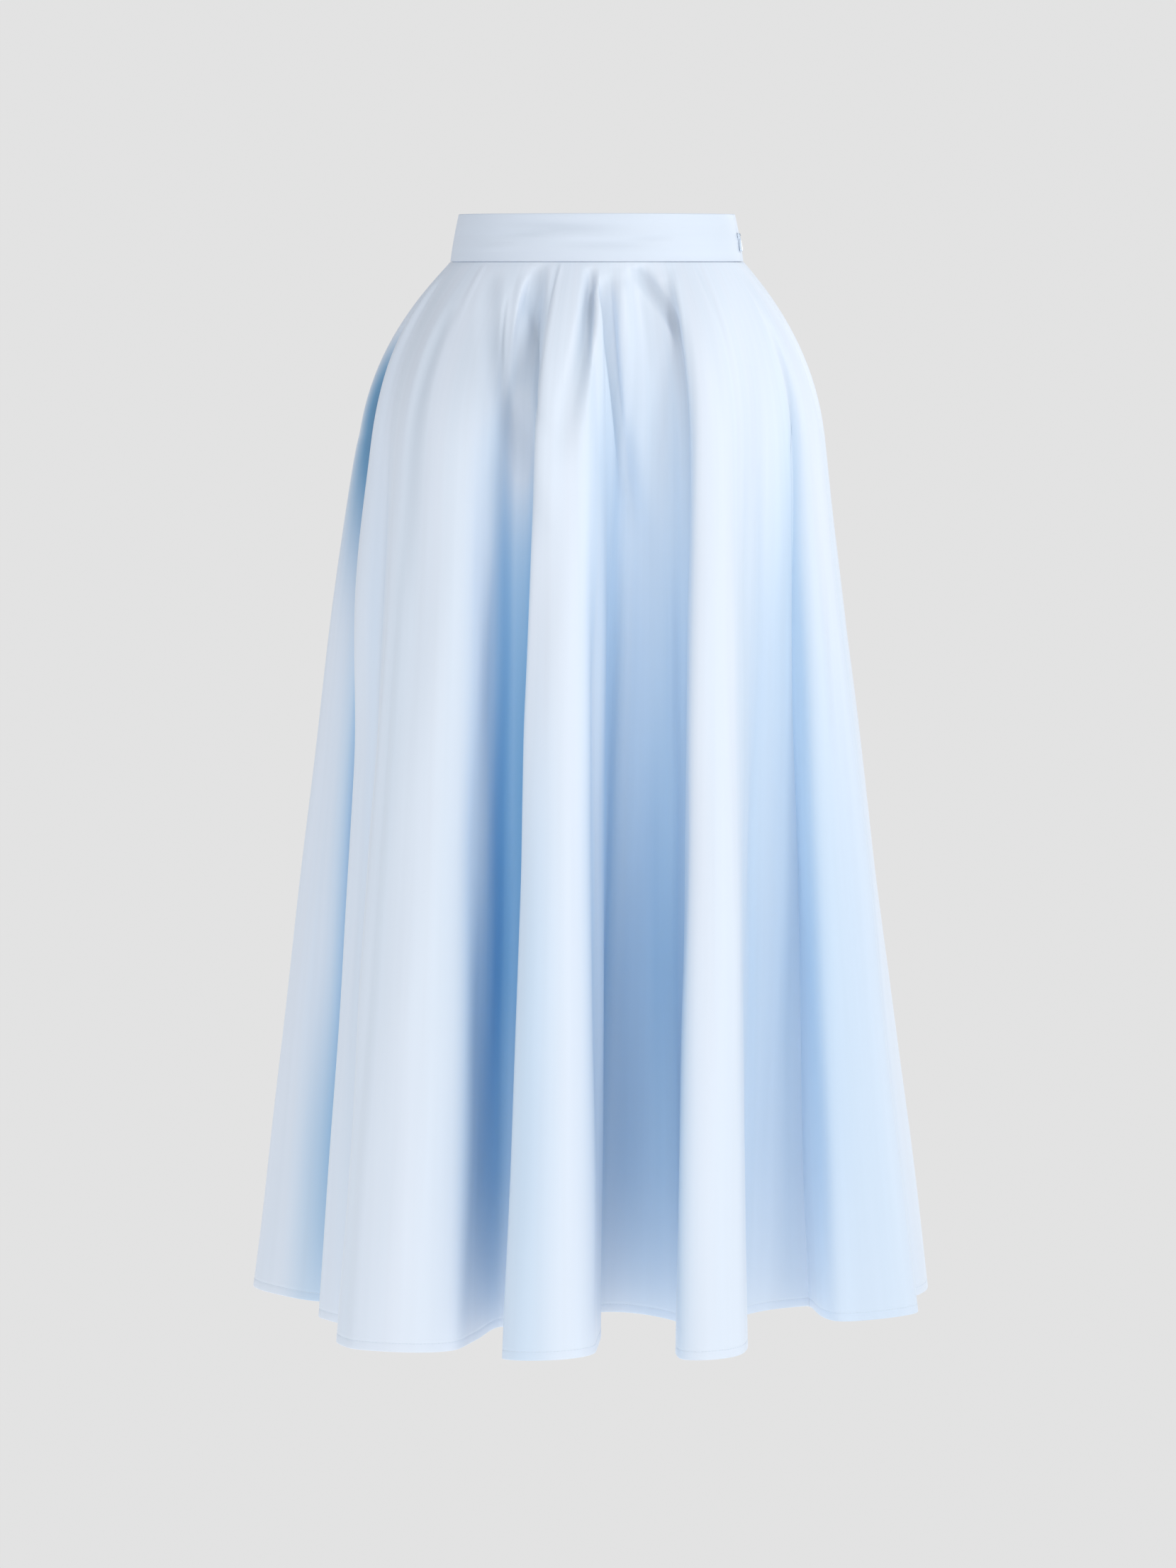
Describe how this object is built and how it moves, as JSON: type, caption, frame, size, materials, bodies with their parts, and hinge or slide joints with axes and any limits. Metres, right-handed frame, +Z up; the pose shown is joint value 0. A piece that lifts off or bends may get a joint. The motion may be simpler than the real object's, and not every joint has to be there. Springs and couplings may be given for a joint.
{
  "type": "circle skirt",
  "caption": "Flared midi circle skirt of pale blue satin-weave cloth, with deep flutes from waist to hem, a contoured waistband and a concealed side zip.",
  "frame": {"origin": "centre of the waist, at half the height of the waistband", "axes": "+X to the wearer's left, -Y to the front, +Z up along the wearer's body"},
  "size_m": [0.5869, 0.5574, 0.925],
  "materials": {
    "skirt_cloth": "satin weave with a soft sheen, pale sky blue",
    "band_cloth": "the skirt's cloth over stiffening, pale sky blue",
    "zip_tape": "fine woven tape, matt",
    "slider_metal": "polished",
    "pull_enamel": "glossy enamel in the cloth's colour"
  },
  "bodies": {
    "skirt": {"waistband_front": "band_cloth", "waistband_back": "band_cloth", "skirt_front": "skirt_cloth", "skirt_back": "skirt_cloth", "zip_tape": "zip_tape", "zip_slider": "slider_metal"},
    "zip_pull": {"zip_pull": "pull_enamel"}
  },
  "joints": [
    {"name": "zip_pull_hinge", "type": "hinge", "parent": "skirt", "child": "zip_pull", "pos_m": [0.11956, -0.01762, 0.00225], "axis": [-0.2498, -0.9683, 0], "range_deg": [0, 170]}
  ]
}
